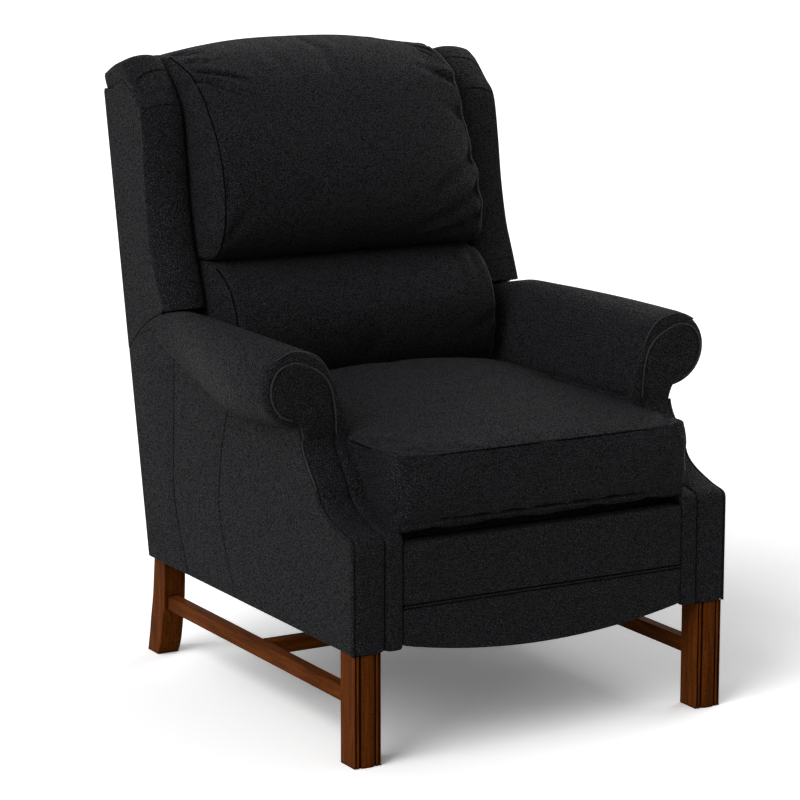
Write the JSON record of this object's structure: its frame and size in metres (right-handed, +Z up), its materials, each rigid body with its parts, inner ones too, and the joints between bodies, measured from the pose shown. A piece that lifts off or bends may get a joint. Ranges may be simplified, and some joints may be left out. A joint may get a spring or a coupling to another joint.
{
  "type": "recliner",
  "caption": "Upholstered wing-back recliner with rolled arms, a folding footrest on lazy-tong links, a reclining back and square wooden legs with stretchers.",
  "frame": {"origin": "on the floor, at the middle of the chair's outline seen from above", "axes": "+X to the viewer's right when facing the seat, +Y to the chair's back, +Z up"},
  "size_m": [0.8614, 0.9387, 1.091],
  "materials": {
    "leg_wood": "satin",
    "frame_wood": "raw",
    "steel": "satin",
    "leather": "pebbled, semi-gloss"
  },
  "bodies": {
    "base": {"front_leg_left": "leg_wood", "front_leg_right": "leg_wood", "rear_leg_left": "leg_wood", "rear_leg_right": "leg_wood", "side_stretcher_left": "leg_wood", "side_stretcher_right": "leg_wood", "cross_stretcher": "leg_wood", "outside_arm_left": "leather", "outside_arm_right": "leather", "inside_arm_left": "leather", "inside_arm_right": "leather", "arm_sweep_left": "leather", "arm_sweep_right": "leather", "front_post_left": "leather", "front_post_right": "leather", "post_strip_left": "leather", "post_strip_right": "leather", "arm_roll_left": "leather", "arm_roll_right": "leather", "arm_facing_left": "leather", "arm_facing_right": "leather", "base_rail_left": "frame_wood", "base_rail_right": "frame_wood", "base_rail_front": "frame_wood", "base_rail_rear": "frame_wood", "side_plate_left": "steel", "side_plate_right": "steel"},
    "seat": {"seat_deck": "frame_wood", "seat_cushion": "leather"},
    "back": {"outside_back": "leather", "back_upright_left": "frame_wood", "back_upright_right": "frame_wood", "back_rail_low": "frame_wood", "back_rail_waist": "frame_wood", "back_rail_top": "frame_wood", "wing_left": "leather", "wing_right": "leather", "wing_roll_left": "leather", "wing_roll_right": "leather", "lumbar_pillow": "leather", "head_pillow": "leather", "back_bracket_left": "steel", "back_bracket_right": "steel"},
    "crank": {"link_b1_left": "steel", "link_b1_right": "steel", "torque_tube": "steel"},
    "arm_1": {"link_a1_left": "steel", "link_a1_right": "steel"},
    "arm_2": {"link_b2_left": "steel", "link_b2_right": "steel"},
    "arm_3": {"link_a2_left": "steel", "link_a2_right": "steel"},
    "arm_4": {"link_a3_left": "steel", "link_a3_right": "steel"},
    "arm_5": {"link_b3_left": "steel", "link_b3_right": "steel"},
    "footrest": {"footrest_pad": "leather", "footrest_board": "frame_wood", "footrest_bracket_left": "steel", "footrest_bracket_right": "steel"}
  },
  "joints": [
    {"name": "footrest_open", "type": "hinge", "parent": "base", "child": "crank", "pos_m": [0, -0.299, 0.318], "axis": [-1, 0, 0], "range_deg": [0, 62]},
    {"name": "link_a1_turn", "type": "hinge", "parent": "crank", "child": "arm_1", "pos_m": [0, -0.31909, 0.25618], "axis": [-1, 0, 0], "range_deg": [-124, 0]},
    {"name": "link_b2_turn", "type": "hinge", "parent": "arm_1", "child": "arm_2", "pos_m": [0, -0.32135, 0.32114], "axis": [-1, 0, 0], "range_deg": [0, 124]},
    {"name": "link_a2_turn", "type": "hinge", "parent": "arm_2", "child": "arm_3", "pos_m": [0, -0.34144, 0.25932], "axis": [-1, 0, 0], "range_deg": [-124, 0]},
    {"name": "link_a3_turn", "type": "hinge", "parent": "arm_2", "child": "arm_4", "pos_m": [0, -0.36153, 0.1975], "axis": [-1, 0, 0], "range_deg": [-124, 0]},
    {"name": "link_b3_turn", "type": "hinge", "parent": "arm_4", "child": "arm_5", "pos_m": [0, -0.3638, 0.26246], "axis": [-1, 0, 0], "range_deg": [0, 124]},
    {"name": "footrest_turn", "type": "hinge", "parent": "arm_4", "child": "footrest", "pos_m": [0, -0.36606, 0.32743], "axis": [-1, 0, 0], "range_deg": [0, 152]},
    {"name": "back_recline", "type": "hinge", "parent": "base", "child": "back", "pos_m": [0, 0.151, 0.335], "axis": [-1, 0, 0], "range_deg": [0, 28]},
    {"name": "seat_glide", "type": "slide", "parent": "base", "child": "seat", "axis": [0, -1, 0], "range_m": [0, 0.03]}
  ],
  "couplings": [
    {"joint": "link_a1_turn", "follows": "footrest_open", "ratio": -2},
    {"joint": "link_b2_turn", "follows": "footrest_open", "ratio": 2},
    {"joint": "link_a2_turn", "follows": "footrest_open", "ratio": -2},
    {"joint": "link_a3_turn", "follows": "footrest_open", "ratio": -2},
    {"joint": "link_b3_turn", "follows": "footrest_open", "ratio": 2},
    {"joint": "footrest_turn", "follows": "footrest_open", "ratio": 2.4516},
    {"joint": "seat_glide", "follows": "back_recline", "m_per_rad": 0.061388}
  ]
}
